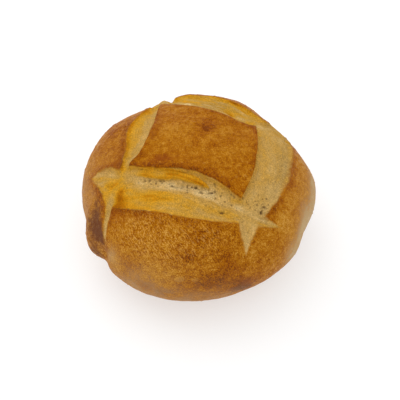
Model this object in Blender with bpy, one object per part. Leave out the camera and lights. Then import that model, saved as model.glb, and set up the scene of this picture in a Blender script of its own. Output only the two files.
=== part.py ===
"""A sourdough boule: one round loaf whose crown was scored with four crossing cuts. They opened
in the oven and left a square of crust in the middle, with torn dough all round it.

Metres, +Z up. The loaf stands on its flat base with its front towards -Y, and the middle of
its base is the origin. A place on the skin is (u, v): how far right and how far back of the
crown it lies, measured along the crust with a tape. Tables marked "mm" are in millimetres.
"""

import itertools
import math
from collections import namedtuple

import bmesh
import bpy
import numpy as np

MM = 0.001
NAME = "boule"

# The plain loaf, before it was scored
LOAF_HEIGHT = 0.106
WAIST_HEIGHT = 0.043  # height of the widest ring
PLAN_RADII = (  # mm, at the waist, anticlockwise from +X in equal steps
    94.5, 88, 87.5, 93, 94.5, 89.5, 93.5, 98.5, 96.6, 94.6, 97.8, 97, 93.4, 92, 92.5, 91.5,
)  # fmt: skip
SIDE_POWER = 2.2  # 2 is an ellipse, more is squarer
BASE_SHARE = 0.70  # where the underside meets the table, as a share of the waist radius
BASE_ROUND = 0.005  # how softly it meets it
PROFILE_STEPS = 720

# The grid of the skin
CELLS = 96  # along each side of the starting cube
CROWDING = 0.29  # how much finer the grid is at the crown than at the base
SNAP_SHARE = 0.55  # grid points this share of a cell from a cut's edge slide onto it
SLOPE_STEP = 0.05 * MM
TRIANGLES = 11600

# The cuts. Each has an inner edge, facing the middle square, and an outer edge, through
# skin points in mm from one tip to the other. A section's rows are: share of the way across
# from the inner edge, then the depth in mm at the cut's start, middle and end.
Cut = namedtuple("Cut", "inner outer section")
FRONT_CUT = Cut(
    inner=(
        (-92, -10), (-85, -8), (-77.5, -8), (-70.5, -10), (-61.5, -15), (-53.6, -14.4),
        (-45, -17.6), (-33, -20.2), (-16.5, -23.2), (-4, -26.6), (6, -31.2), (13, -34.4),
        (21, -39.6), (26, -44.2), (30.6, -46.4), (42, -52.5), (53, -58.5), (67, -63),
    ),
    outer=(
        (-92, -10), (-85, -21), (-78.5, -32), (-67.8, -45.5), (-52, -50.3), (-34.7, -55),
        (-14.4, -61), (8.3, -65.7), (28.4, -66), (38, -67), (47, -66.8), (57, -65.2),
        (67, -63),
    ),
    section=(
        (0.00, 1.2, 2.6, 2.2),
        (0.12, 2.2, 3.4, 3.0),
        (0.27, 2.8, 5.4, 3.6),
        (0.38, 3.0, 6.0, 3.8),
        (0.54, 3.0, 3.8, 3.4),
        (0.80, 2.6, 2.8, 2.8),
        (1.00, 1.6, 1.8, 1.6),
    ),
)
LEFT_CUT = Cut(
    inner=(
        (-8, 118), (-13.8, 97), (-21.8, 81), (-33.5, 60), (-35, 40), (-35.8, 23), (-38.6, 11),
        (-42.4, 1), (-47.2, -7.3), (-53.6, -14.4), (-61, -31), (-67.8, -45.5),
        (-71.5, -54.5), (-75.2, -63), (-80.5, -73),
    ),
    outer=(
        (-8, 118), (-26, 104), (-38, 86), (-45, 68), (-49, 54), (-53.5, 39), (-56.5, 29),
        (-57.4, 17), (-57.6, 5.5), (-59, -3), (-61.5, -15), (-69, -23.5), (-78.5, -32),
        (-76.2, -40), (-75.8, -47), (-78, -57), (-79.2, -65), (-80.5, -73),
    ),
    section=(
        (0.00, 4.0, 3.2, 2.0),
        (0.35, 4.2, 3.8, 2.6),
        (0.70, 3.6, 2.2, 2.4),
        (1.00, 2.6, 1.0, 1.4),
    ),
)
RIGHT_CUT = Cut(
    inner=(
        (72, 64), (58, 42), (45.8, 24.6), (45.9, 19), (44.8, 12), (43.2, 1.5), (42.3, -9),
        (40.8, -19), (37.8, -29), (34, -39), (30.6, -46.4), (29, -57), (29.8, -66),
        (33, -77), (38, -89.5),
    ),
    outer=(
        (72, 64), (83, 50), (85.5, 31), (76.3, 3), (73, -9), (72.4, -20), (68.5, -30),
        (62, -42), (56.8, -49.5), (51.9, -57), (46.2, -66), (41.2, -79), (38, -89.5),
    ),
    section=(
        (0.00, 1.2, 2.8, 2.0),
        (0.30, 1.6, 3.0, 3.0),
        (0.65, 1.4, 1.6, 3.0),
        (0.90, 1.2, 1.6, 2.4),
        (1.00, 0.8, 1.2, 1.6),
    ),
)
BACK_CUT = Cut(
    inner=(
        (-62, 75), (-48, 68), (-33.5, 60), (-21, 52), (-13, 48), (-4.6, 44), (9, 37),
        (22.8, 30.4), (30, 26.6), (37.5, 24.4), (45.8, 24.6), (66, 28.5), (85.5, 31),
        (112, 27),
    ),
    outer=(
        (-62, 75), (-48, 82), (-34, 81), (-21, 77.5), (11, 69), (31, 61.5), (61, 48),
        (82, 43.5), (98, 38), (112, 27),
    ),
    section=(
        (0.00, 2.6, 3.0, 1.2),
        (0.40, 3.8, 4.2, 1.6),
        (0.75, 3.0, 3.0, 1.4),
        (1.00, 1.8, 1.6, 0.8),
    ),
)
CUTS = (FRONT_CUT, LEFT_CUT, RIGHT_CUT, BACK_CUT)
LINE_STEPS = 6  # straight pieces between two points of an edge
CROSSING_BLEND = 0.006  # how gently one cut's floor runs into another's
TAPER_WIDTH = 0.016  # a cut narrower than this is shallower

# The tongue of dough left standing in the front cut, under the square: its outline, in mm
LEDGE = (
    (-55, -13), (-40, -17.5), (-30, -20.6), (-20, -23.4), (-10, -27.2), (-4, -30.6),
    (1.5, -34.4), (5, -37.2), (6.6, -40.6), (-5, -35.8), (-14, -32.4), (-22, -30.4),
    (-35, -28), (-45, -25), (-55, -20), (-55, -13),
)
LEDGE_DEPTH = 0.0018
LEDGE_SIDE = 0.0020  # width of the slope at its side
LEDGE_START = (-0.055, -0.042)  # it rises out of the floor between these, along u

# The crust at the cuts is crisp round the middle square and softer away from it
MIDDLE_CORNERS = ((-33.5, 60), (45.8, 24.6), (30.6, -46.4), (-53.6, -14.4))  # mm
CRISP_WITHIN, SOFT_BEYOND = 0.007, 0.018  # distances from the straight-sided square
CRISP_WALL, SOFT_WALL = 0.0016, 0.0030  # widths of the wall under an edge
CRISP_LIP, SOFT_LIP = 0.0012, 0.0005  # how far the crust curls up there
LIP_REACH = 0.006

# Bulges and hollows of the baked skin: (u, v, reach, height), mm
BULGES = (
    (-106, -54, 24, 3.6),
    (-112, -66, 13, 2.4),
    (-112, -36, 10, -2.2),
    (-78, 50, 18, 2.0),
    (-52, 78, 14, -1.2),
    (-43, 76, 6.5, 2.4),
    (-33, 70.5, 6, 5.8),
    (-13, 85, 14, 1.9),
    (74, 74, 22, -1.3),
    (109, -78, 16, 1.1),
    (124, -50, 16, -1.4),
    (-8, -96, 46, 1.2),
    (4, 10, 40, 0.8),
)
# Creases: (u, v) of each end, half width and depth, mm
CREASES = (
    ((-81, -70), (-92, -79), 5, 1.6),
    ((-93, -78), (-122, -93), 10, 2.8),
)
# Unevenness of the skin: (size of a lump, height, seed), metres
LUMPS = ((0.034, 0.0009, 3), (0.011, 0.0003, 8))
NOISE_CELLS = 16
CALM_BELOW, LIVELY_ABOVE = 0.002, 0.014  # heights between which the relief fades in

CRUST_COLOR = (0.42, 0.145, 0.012, 1.0)
CRUST_ROUGHNESS = 0.55


def clear_scene():
    for obj in list(bpy.data.objects):
        bpy.data.objects.remove(obj)


def ease(x):
    """0 below 0, 1 above 1, and smooth between."""
    x = np.clip(x, 0.0, 1.0)
    return x * x * (3.0 - 2.0 * x)


def lattice_noise(points, cell, seed):
    """Smooth noise from -1 to 1 that changes over about one cell."""
    table = np.random.default_rng(seed).uniform(-1.0, 1.0, (NOISE_CELLS,) * 3)
    low = np.floor(points / cell).astype(int)
    part = ease(points / cell - low)
    total = np.zeros(len(points))
    for corner in itertools.product((0, 1), repeat=3):
        weight = np.prod(np.abs(1 - np.array(corner) - part), axis=1)
        x, y, z = ((low + corner) % NOISE_CELLS).T
        total += weight * table[x, y, z]
    return total


# ---- the plain loaf ----


def skin_profile():
    """Share of the waist radius, height and distance along the crust, crown to base."""
    angle = np.linspace(0.0, math.pi, PROFILE_STEPS + 1)
    share = np.abs(np.sin(angle)) ** (2.0 / SIDE_POWER)
    above = LOAF_HEIGHT - WAIST_HEIGHT
    below = WAIST_HEIGHT / math.sqrt(1.0 - BASE_SHARE**SIDE_POWER)
    height = WAIST_HEIGHT + np.cos(angle) * np.where(np.cos(angle) > 0, above, below)
    rounded = np.maximum(height + BASE_ROUND, 0.0) ** 2 / (4.0 * BASE_ROUND)
    height = np.where(height > BASE_ROUND, height, rounded)
    steps = np.hypot(np.diff(share) * np.mean(PLAN_RADII) * MM, np.diff(height))
    return share, height, np.concatenate(([0.0], np.cumsum(steps)))


SHARE, HEIGHT, ALONG = skin_profile()


def plan_radius(angle):
    """The waist radius in a direction, on a smooth closed curve through PLAN_RADII."""
    radii = np.array(PLAN_RADII) * MM
    turn = angle / math.tau * len(radii)
    low = np.floor(turn).astype(int)
    t = turn - low
    a, b, c, d = (radii[(low + k) % len(radii)] for k in (-1, 0, 1, 2))
    return b + 0.5 * t * (c - a + t * (2 * a - 5 * b + 4 * c - d + t * (3 * (b - c) + d - a)))


def skin_point(uv):
    """Where a skin place lies on the plain loaf."""
    along = np.hypot(uv[:, 0], uv[:, 1])
    angle = np.arctan2(uv[:, 1], uv[:, 0])
    share = np.interp(along, ALONG, SHARE)
    mean = np.mean(PLAN_RADII) * MM
    radius = share * (mean + (plan_radius(angle) - mean) * share)
    height = np.interp(along, ALONG, HEIGHT)
    return np.column_stack((radius * np.cos(angle), radius * np.sin(angle), height))


def skin_normal(uv):
    """The outward direction at each skin place."""
    right = skin_point(uv + (SLOPE_STEP, 0.0)) - skin_point(uv - (SLOPE_STEP, 0.0))
    back = skin_point(uv + (0.0, SLOPE_STEP)) - skin_point(uv - (0.0, SLOPE_STEP))
    normal = np.cross(right, back)
    length = np.linalg.norm(normal, axis=1, keepdims=True)
    normal = normal / np.maximum(length, 1e-15)
    flat = (skin_point(uv)[:, 2] < MM) | (length[:, 0] < 1e-12)
    normal[flat] = (0.0, 0.0, -1.0)
    return normal


# ---- the cuts ----


def smooth_line(points):
    """A Catmull-Rom curve through skin points in mm, as points in metres."""
    p = np.array(points, float) * MM
    p = np.vstack((2 * p[0] - p[1], p, 2 * p[-1] - p[-2]))
    t = np.linspace(0.0, 1.0, LINE_STEPS, endpoint=False)[:, None]
    spans = []
    for a, b, c, d in zip(p, p[1:], p[2:], p[3:]):
        curve = c - a + t * (2 * a - 5 * b + 4 * c - d + t * (3 * (b - c) + d - a))
        spans.append(b + 0.5 * t * curve)
    return np.vstack((*spans, p[-2]))


def distance_to_line(uv, line):
    """Distance from each skin place to a line."""
    nearest = np.full(len(uv), np.inf)
    for start, end in zip(line, line[1:]):
        run = end - start
        share = np.clip((uv - start) @ run / (run @ run), 0.0, 1.0)
        offset = uv - start - share[:, None] * run
        nearest = np.minimum(nearest, (offset**2).sum(axis=1))
    return np.sqrt(nearest)


def inside_outline(uv, outline):
    """Which skin places a closed outline holds."""
    u, v = uv.T
    inside = np.zeros(len(uv), bool)
    for (u0, v0), (u1, v1) in zip(outline, np.roll(outline, -1, axis=0)):
        if v0 != v1:
            crosses = (v0 > v) != (v1 > v)
            inside ^= crosses & (u < u0 + (v - v0) * (u1 - u0) / (v1 - v0))
    return inside


def cut_fields(cut, uv):
    """For one cut: distance past its edge (negative inside it) and the floor's depth."""
    inner, outer = smooth_line(cut.inner), smooth_line(cut.outer)
    to_inner, to_outer = distance_to_line(uv, inner), distance_to_line(uv, outer)
    inside = inside_outline(uv, np.vstack((inner, outer[::-1])))
    past = np.minimum(to_inner, to_outer) * np.where(inside, -1.0, 1.0)

    run = inner[-1] - inner[0]
    lengthwise = 2.0 * np.clip((uv - inner[0]) @ run / (run @ run), 0.0, 1.0)
    width = to_inner + to_outer
    share, *stations = np.array(cut.section).T
    across = to_inner / np.maximum(width, 1e-9)
    start, middle, end = (np.interp(across, share, depths * MM) for depths in stations)
    depth = start + (middle - start) * ease(lengthwise) + (end - middle) * ease(lengthwise - 1.0)
    return past, depth * ease(width / TAPER_WIDTH)


def all_cuts(uv):
    """Distance past the nearest edge of a cut (negative inside one) and the floor's depth."""
    fields = [cut_fields(cut, uv) for cut in CUTS]
    past = np.min([f[0] for f in fields], axis=0)
    held = [ease(-f[0] / CROSSING_BLEND) + 1e-9 for f in fields]
    return past, sum(h * f[1] for h, f in zip(held, fields)) / sum(held)


def ledge_share(uv):
    """1 on the tongue left in the front cut, 0 beside it."""
    outline = smooth_line(LEDGE)
    past = distance_to_line(uv, outline) * np.where(inside_outline(uv, outline), -1.0, 1.0)
    start, end = LEDGE_START
    return ease(0.5 - past / LEDGE_SIDE) * ease((uv[:, 0] - start) / (end - start))


def crispness(uv):
    """1 round the middle square, 0 far from it."""
    square = np.array(MIDDLE_CORNERS, float) * MM
    away = distance_to_line(uv, np.vstack((square, square[:1])))
    away[inside_outline(uv, square)] = 0.0
    return 1.0 - ease((away - CRISP_WITHIN) / (SOFT_BEYOND - CRISP_WITHIN))


def wall_width(uv):
    return SOFT_WALL + (CRISP_WALL - SOFT_WALL) * crispness(uv)


def past_edge(uv):
    return all_cuts(uv)[0]


def past_foot(uv):
    """Distance past the foot of the wall under a cut's edge."""
    return all_cuts(uv)[0] + wall_width(uv)


def slope(field, uv):
    """How fast a field changes to the right and to the back."""
    right = field(uv + (SLOPE_STEP, 0.0)) - field(uv - (SLOPE_STEP, 0.0))
    back = field(uv + (0.0, SLOPE_STEP)) - field(uv - (0.0, SLOPE_STEP))
    return np.column_stack((right, back)) / (2.0 * SLOPE_STEP)


def slide_to_edges(uv, edges):
    """Slides grid points onto the cuts' edges and wall feet, so that each is one clean line."""
    length = np.linalg.norm(uv[edges[:, 0]] - uv[edges[:, 1]], axis=1)
    total = np.bincount(edges.ravel(), np.repeat(length, 2), len(uv))
    reach = SNAP_SHARE * total / np.bincount(edges.ravel(), minlength=len(uv))
    free = np.linalg.norm(uv, axis=1) < ALONG[-1] / 2.0
    for field in (past_edge, past_foot):
        near = np.flatnonzero(free & (np.abs(field(uv)) < reach))
        for _ in range(2):
            steepness = slope(field, uv[near])
            square = np.maximum((steepness**2).sum(axis=1), 0.25)
            uv[near] -= (field(uv[near]) / square)[:, None] * steepness
        free[near] = False
        free &= crispness(uv) > 0.5  # the foot of a soft wall needs no line
    return uv


# ---- the relief of the baked skin ----


def cut_relief(uv):
    """Height of the opened cuts and of the crust that curls up beside them."""
    past, depth = all_cuts(uv)
    depth += (np.minimum(depth, LEDGE_DEPTH) - depth) * ledge_share(uv)
    lip = SOFT_LIP + (CRISP_LIP - SOFT_LIP) * crispness(uv)
    curl = lip * np.exp(-((np.maximum(past, 0.0) / LIP_REACH) ** 2))
    opened = np.clip(-past / wall_width(uv), 0.0, 1.0)
    return curl * (1.0 - opened) - depth * opened


def bulge_relief(uv):
    """Height of the bulges, hollows and creases."""
    height = np.zeros(len(uv))
    for u, v, reach, rise in BULGES:
        away = np.linalg.norm(uv - np.array((u, v)) * MM, axis=1)
        height += rise * MM * np.exp(-((away / (reach * MM)) ** 2))
    for start, end, half_width, depth in CREASES:
        away = distance_to_line(uv, np.array((start, end), float) * MM)
        height -= depth * MM * np.exp(-((away / (half_width * MM)) ** 2))
    return height


def baked_skin(uv):
    """The baked loaf's surface at each skin place."""
    plain = skin_point(uv)
    relief = cut_relief(uv) + bulge_relief(uv)
    for size, height, seed in LUMPS:
        relief += height * lattice_noise(plain, size, seed)
    relief *= ease((plain[:, 2] - CALM_BELOW) / (LIVELY_ABOVE - CALM_BELOW))
    return plain + skin_normal(uv) * relief[:, None]


# ---- the solid ----


def grid_on_skin(corners):
    """The skin places of a cube's grid points when the cube is wrapped round the loaf."""
    even = np.tan(corners * math.pi / 4.0)
    even /= np.linalg.norm(even, axis=1, keepdims=True)
    turn = np.arccos(np.clip(even[:, 2], -1.0, 1.0)) / math.pi
    along = ALONG[-1] * ((1.0 - CROWDING) * turn + CROWDING * turn**3)
    angle = np.arctan2(even[:, 1], even[:, 0])
    return np.column_stack((along * np.cos(angle), along * np.sin(angle)))


def centre_on_base(points):
    """Moves the loaf so that the middle of its outline is over the origin."""
    middle = (points.min(axis=0) + points.max(axis=0)) / 2.0
    points[:, :2] -= middle[:2]
    points[:, 2] = np.maximum(points[:, 2], 0.0)
    return points


def crust_material():
    material = bpy.data.materials.new("crust")
    material.use_nodes = True
    shader = material.node_tree.nodes["Principled BSDF"]
    shader.inputs["Base Color"].default_value = CRUST_COLOR
    shader.inputs["Roughness"].default_value = CRUST_ROUGHNESS
    shader.inputs["Metallic"].default_value = 0.0
    return material


def split_quads(quads, level):
    """Triangles that follow lines of equal level, so a cut's edge isn't notched."""
    a, b, c, d = quads.T
    along_ac = np.abs(level[a] - level[c]) <= np.abs(level[b] - level[d])
    split_ac = np.column_stack((a, b, c, a, c, d))
    split_bd = np.column_stack((a, b, d, b, c, d))
    return np.where(along_ac[:, None], split_ac, split_bd).reshape(-1, 3)


def make_boule(collection):
    """A finely divided cube, wrapped round the loaf, then thinned where it is smooth."""
    cube = bmesh.new()
    bmesh.ops.create_cube(cube, size=2.0)
    bmesh.ops.subdivide_edges(cube, edges=cube.edges[:], cuts=CELLS - 1, use_grid_fill=True)
    cube.verts.index_update()
    corners = np.array([vert.co for vert in cube.verts])
    edges = np.array([[vert.index for vert in edge.verts] for edge in cube.edges])
    quads = np.array([[vert.index for vert in face.verts] for face in cube.faces])
    cube.free()

    uv = slide_to_edges(grid_on_skin(corners), edges)
    triangles = split_quads(quads, past_edge(uv))
    mesh = bpy.data.meshes.new(NAME)
    mesh.from_pydata(centre_on_base(baked_skin(uv)), [], triangles)
    mesh.materials.append(crust_material())
    mesh.shade_smooth()
    boule = bpy.data.objects.new(NAME, mesh)
    collection.objects.link(boule)
    thin = boule.modifiers.new("Thin smooth areas", "DECIMATE")
    thin.ratio = TRIANGLES / len(triangles)
    return boule


def main():
    clear_scene()
    collection = bpy.data.collections.new("Sourdough boule")
    bpy.context.scene.collection.children.link(collection)
    make_boule(collection)


main()
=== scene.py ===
"""The sourdough boule as it looks: baked crust, torn dough in the four crossing cuts, pores,
blisters and browning, on a pale floor in soft light.

Metres, +Z up, front towards -Y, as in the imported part. A place on the skin is (u, v): how far
right and how far back of the crown it lies, measured along the crust with a tape. Tables
marked "mm" are in millimetres.
"""

import itertools
import math
from collections import namedtuple

import bmesh
import bpy
import numpy as np
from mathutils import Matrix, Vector


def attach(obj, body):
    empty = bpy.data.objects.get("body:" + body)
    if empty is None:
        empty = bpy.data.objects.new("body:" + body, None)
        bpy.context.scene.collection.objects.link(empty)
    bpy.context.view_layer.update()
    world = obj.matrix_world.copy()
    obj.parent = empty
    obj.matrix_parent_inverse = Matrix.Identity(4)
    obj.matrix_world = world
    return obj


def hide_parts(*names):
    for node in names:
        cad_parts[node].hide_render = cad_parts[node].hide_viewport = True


MM = 0.001
BODY = "root"
CAD_NODE = "boule"

# ---- the form, as in the part's source ----

LOAF_HEIGHT = 0.106
WAIST_HEIGHT = 0.043  # height of the widest ring
# The waist radii in mm, anticlockwise from +X in equal steps. A program fitted them to the
# outline in the reference photo, and a few were then moved.
PLAN_RADII = (
    94.5, 88, 87.5, 93, 94.5, 89.5, 93.5, 98.5, 96.6, 94.6, 97.8, 97, 93.4, 92, 92.5, 91.5,
)  # fmt: skip
SIDE_POWER = 2.2  # 2 is an ellipse, more is squarer
BASE_SHARE = 0.70  # where the underside meets the table, as a share of the waist radius
BASE_ROUND = 0.005  # how softly it meets it
PROFILE_STEPS = 720

CELLS = 128  # along each side of the starting cube
CROWDING = 0.29  # how much finer the grid is at the crown than at the base
SNAP_SHARE = 0.55  # grid points this share of a cell from a cut's edge slide onto it
SLOPE_STEP = 0.05 * MM

# The cuts. Each has an inner edge, facing the middle square, and an outer edge, through
# skin points in mm from one tip to the other. A section's rows are: share of the way across
# from the inner edge, then the depth in mm at the cut's start, middle and end. A tone's rows
# are the same, with how deeply the torn dough is browned, from 0 to 1. Streaks say how much
# the strands of the dough differ in tone, and weight how much the cut shows at a crossing.
Cut = namedtuple("Cut", "inner outer section tone streaks weight")
FRONT_CUT = Cut(
    inner=(
        (-92, -10), (-85, -8), (-77.5, -8), (-70.5, -10), (-61.5, -15), (-53.6, -14.4),
        (-45, -17.6), (-33, -20.2), (-16.5, -23.2), (-4, -26.6), (6, -31.2), (13, -34.4),
        (21, -39.6), (26, -44.2), (30.6, -46.4), (42, -52.5), (53, -58.5), (67, -63),
    ),
    outer=(
        (-92, -10), (-85, -21), (-78.5, -32), (-67.8, -45.5), (-52, -50.3), (-34.7, -55),
        (-14.4, -61), (8.3, -65.7), (28.4, -66), (38, -67), (47, -66.8), (57, -65.2),
        (67, -63),
    ),
    section=(
        (0.00, 1.2, 2.4, 2.2),
        (0.12, 2.2, 3.2, 3.0),
        (0.24, 2.8, 4.6, 3.4),
        (0.36, 3.0, 6.0, 3.8),
        (0.46, 3.0, 4.8, 3.6),
        (0.56, 3.0, 3.6, 3.4),
        (0.80, 2.6, 2.8, 2.8),
        (1.00, 1.6, 1.8, 1.6),
    ),
    tone=(
        (0.00, 0.30, 0.50, 0.28),
        (0.12, 0.14, 0.44, 0.22),
        (0.24, 0.12, 0.20, 0.12),
        (0.32, 0.18, 0.04, 0.10),
        (0.43, 0.42, 0.10, 0.12),
        (0.53, 0.50, 0.54, 0.22),
        (0.70, 0.54, 0.66, 0.34),
        (0.88, 0.52, 0.44, 0.28),
        (1.00, 0.70, 0.60, 0.46),
    ),
    streaks=0.10,
    weight=1.0,
)
LEFT_CUT = Cut(
    inner=(
        (-8, 118), (-13.8, 97), (-21.8, 81), (-33.5, 60), (-35, 40), (-35.8, 23), (-38.6, 11),
        (-42.4, 1), (-47.2, -7.3), (-53.6, -14.4), (-61, -31), (-67.8, -45.5),
        (-71.5, -54.5), (-75.2, -63), (-80.5, -73),
    ),
    outer=(
        (-8, 118), (-26, 104), (-38, 86), (-45, 68), (-49, 54), (-53.5, 39), (-56.5, 29),
        (-57.4, 17), (-57.6, 5.5), (-59, -3), (-61.5, -15), (-69, -23.5), (-78.5, -32),
        (-76.2, -40), (-75.8, -47), (-78, -57), (-79.2, -65), (-80.5, -73),
    ),
    section=(
        (0.00, 4.0, 3.2, 2.0),
        (0.35, 4.2, 3.8, 2.6),
        (0.70, 3.6, 2.2, 2.4),
        (1.00, 2.6, 1.0, 1.4),
    ),
    tone=(
        (0.00, 0.35, 0.22, 0.40),
        (0.42, 0.20, 0.24, 0.24),
        (0.60, 0.38, 0.44, 0.20),
        (0.85, 0.48, 0.56, 0.30),
        (1.00, 0.80, 0.84, 0.60),
    ),
    streaks=0.08,
    weight=3.0,
)
RIGHT_CUT = Cut(
    inner=(
        (72, 64), (58, 42), (45.8, 24.6), (45.9, 19), (44.8, 12), (43.2, 1.5), (42.3, -9),
        (40.8, -19), (37.8, -29), (34, -39), (30.6, -46.4), (29, -57), (29.8, -66),
        (33, -77), (38, -89.5),
    ),
    outer=(
        (72, 64), (83, 50), (85.5, 31), (76.3, 3), (73, -9), (72.4, -20), (68.5, -30),
        (62, -42), (56.8, -49.5), (51.9, -57), (46.2, -66), (41.2, -79), (38, -89.5),
    ),
    section=(
        (0.00, 1.2, 2.8, 2.0),
        (0.30, 1.6, 3.0, 3.0),
        (0.65, 1.4, 1.6, 3.0),
        (0.90, 1.2, 1.6, 2.4),
        (1.00, 0.8, 1.2, 1.6),
    ),
    tone=(
        (0.00, 0.42, 0.42, 0.28),
        (0.12, 0.32, 0.34, 0.18),
        (0.60, 0.32, 0.28, 0.10),
        (0.88, 0.32, 0.26, 0.06),
        (1.00, 0.40, 0.34, 0.14),
    ),
    streaks=0.08,
    weight=1.0,
)
BACK_CUT = Cut(
    inner=(
        (-62, 75), (-48, 68), (-33.5, 60), (-21, 52), (-13, 48), (-4.6, 44), (9, 37),
        (22.8, 30.4), (30, 26.6), (37.5, 24.4), (45.8, 24.6), (66, 28.5), (85.5, 31),
        (112, 27),
    ),
    outer=(
        (-62, 75), (-48, 82), (-34, 81), (-21, 77.5), (11, 69), (31, 61.5), (61, 48),
        (82, 43.5), (98, 38), (112, 27),
    ),
    section=(
        (0.00, 2.6, 3.0, 1.2),
        (0.40, 3.8, 4.2, 1.6),
        (0.75, 3.0, 3.0, 1.4),
        (1.00, 1.8, 1.6, 0.8),
    ),
    tone=(
        (0.00, 0.40, 0.30, 0.34),
        (0.10, 0.56, 0.62, 0.36),
        (0.18, 0.26, 0.26, 0.26),
        (0.50, 0.30, 0.30, 0.30),
        (0.80, 0.34, 0.40, 0.36),
        (0.93, 0.42, 0.54, 0.48),
        (1.00, 0.72, 0.76, 0.66),
    ),
    streaks=0.36,
    weight=1.0,
)
CUTS = (FRONT_CUT, LEFT_CUT, RIGHT_CUT, BACK_CUT)
LINE_STEPS = 6  # straight pieces between two points of an edge
CROSSING_BLEND = 0.008  # how gently one cut's floor runs into another's
TAPER_WIDTH = 0.016  # a cut narrower than this is shallower
WOBBLES = ((0.0085, 0.0003, 51), (0.0030, 0.0002, 61))  # of the edges: size, reach, seed

# The tongue of dough left standing in the front cut, under the square: its outline, in mm
LEDGE = (
    (-55, -13), (-40, -17.5), (-30, -20.6), (-20, -23.4), (-10, -27.2), (-4, -30.6),
    (1.5, -34.4), (5, -37.2), (6.6, -40.6), (-5, -35.8), (-14, -32.4), (-22, -30.4),
    (-35, -28), (-45, -25), (-55, -20), (-55, -13),
)
LEDGE_DEPTH = 0.0018
LEDGE_SIDE = 0.0012  # width of the slope at its side
LEDGE_START = (-0.055, -0.042)  # it rises out of the floor between these, along u
LEDGE_LIP = 0.0005  # how far its side curls up
LEDGE_TONE, LEDGE_SIDE_TONE = 0.60, 0.14

# The crust at the cuts is crisp round the middle square and softer away from it
MIDDLE_CORNERS = ((-33.5, 60), (45.8, 24.6), (30.6, -46.4), (-53.6, -14.4))  # mm
CRISP_WITHIN, SOFT_BEYOND = 0.0065, 0.0105  # distances from the straight-sided square
CRISP_WALL, SOFT_WALL = 0.0015, 0.0028  # widths of the wall under an edge
CRISP_LIP, SOFT_LIP = 0.0012, 0.0005  # how far the crust curls up there
LIP_REACH = 0.006
OVERHANG = 0.0005  # how far a crisp lip leans out over the cut

# Bulges and hollows of the baked skin: (u, v, reach, height), mm
BULGES = (
    (-106, -54, 24, 3.6),
    (-112, -66, 13, 2.4),
    (-112, -36, 10, -2.2),
    (-78, 50, 18, 2.0),
    (-52, 78, 14, -1.2),
    (-43, 76, 6.5, 2.4),
    (-33, 70.5, 6, 5.8),
    (-13, 85, 14, 1.9),
    (74, 74, 22, -1.3),
    (109, -78, 16, 1.1),
    (124, -50, 16, -1.4),
    (-8, -96, 46, 1.2),
    (4, 10, 40, 0.8),
)
# Creases: (u, v) of each end, half width and depth, mm
CREASES = (
    ((-81, -70), (-92, -79), 5, 1.6),
    ((-93, -78), (-122, -93), 10, 2.8),
)
# Unevenness of the skin: (size of a lump, height, seed), metres
LUMPS = ((0.034, 0.0009, 3), (0.011, 0.0003, 8), (0.0045, 0.00014, 21), (0.0021, 0.0001, 41))
DOUGH_LUMPS = ((0.013, 0.0007, 5), (0.0052, 0.0005, 15), (0.0022, 0.00028, 25))
DOUGH_STRANDS = (0.0017, 0.00025, 6.0, 31)  # width, height, length over width, seed
NOISE_CELLS = 16
CALM_BELOW, LIVELY_ABOVE = 0.002, 0.014  # heights between which the relief fades in

# ---- what the material shows ----

CRUST_BAKE = 0.50
EDGE_BAKE_REACH = 0.0048
DUST_CLEAR = 0.005  # dust fades out within this distance of a cut
# How widely crust runs into dough: at crisp edges, more at soft ones, more in the SOFT places
CRISP_BLUR, SOFT_BLUR, PLACE_BLUR = 0.0009, 0.0007, 0.0028
BLUR_SHIFT = 0.0004  # the colour changes this far inside the edge
# Browning along the edges of the cuts: everywhere, and (u, v, reach, reach, more), mm
EDGE_BAKE = 0.12
EDGE_PATCHES = (
    (-28, -18, 26, 10, 0.24),
    (8, -30, 20, 12, 0.24),
    (44, -4, 8, 20, 0.08),
    (44, 22, 8, 8, 0.12),
    (-66, -48, 10, 7, 0.24),
    (-44, -54, 18, 7, 0.14),
    (-8, -62, 24, 7, 0.04),
    (-60, 20, 8, 30, 0.14),
    (-66, -10, 12, 8, 0.18),
    (72, -12, 10, 30, 0.14),
    (58, -50, 8, 10, 0.12),
    (-84, -34, 8, 12, 0.10),
)
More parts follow.
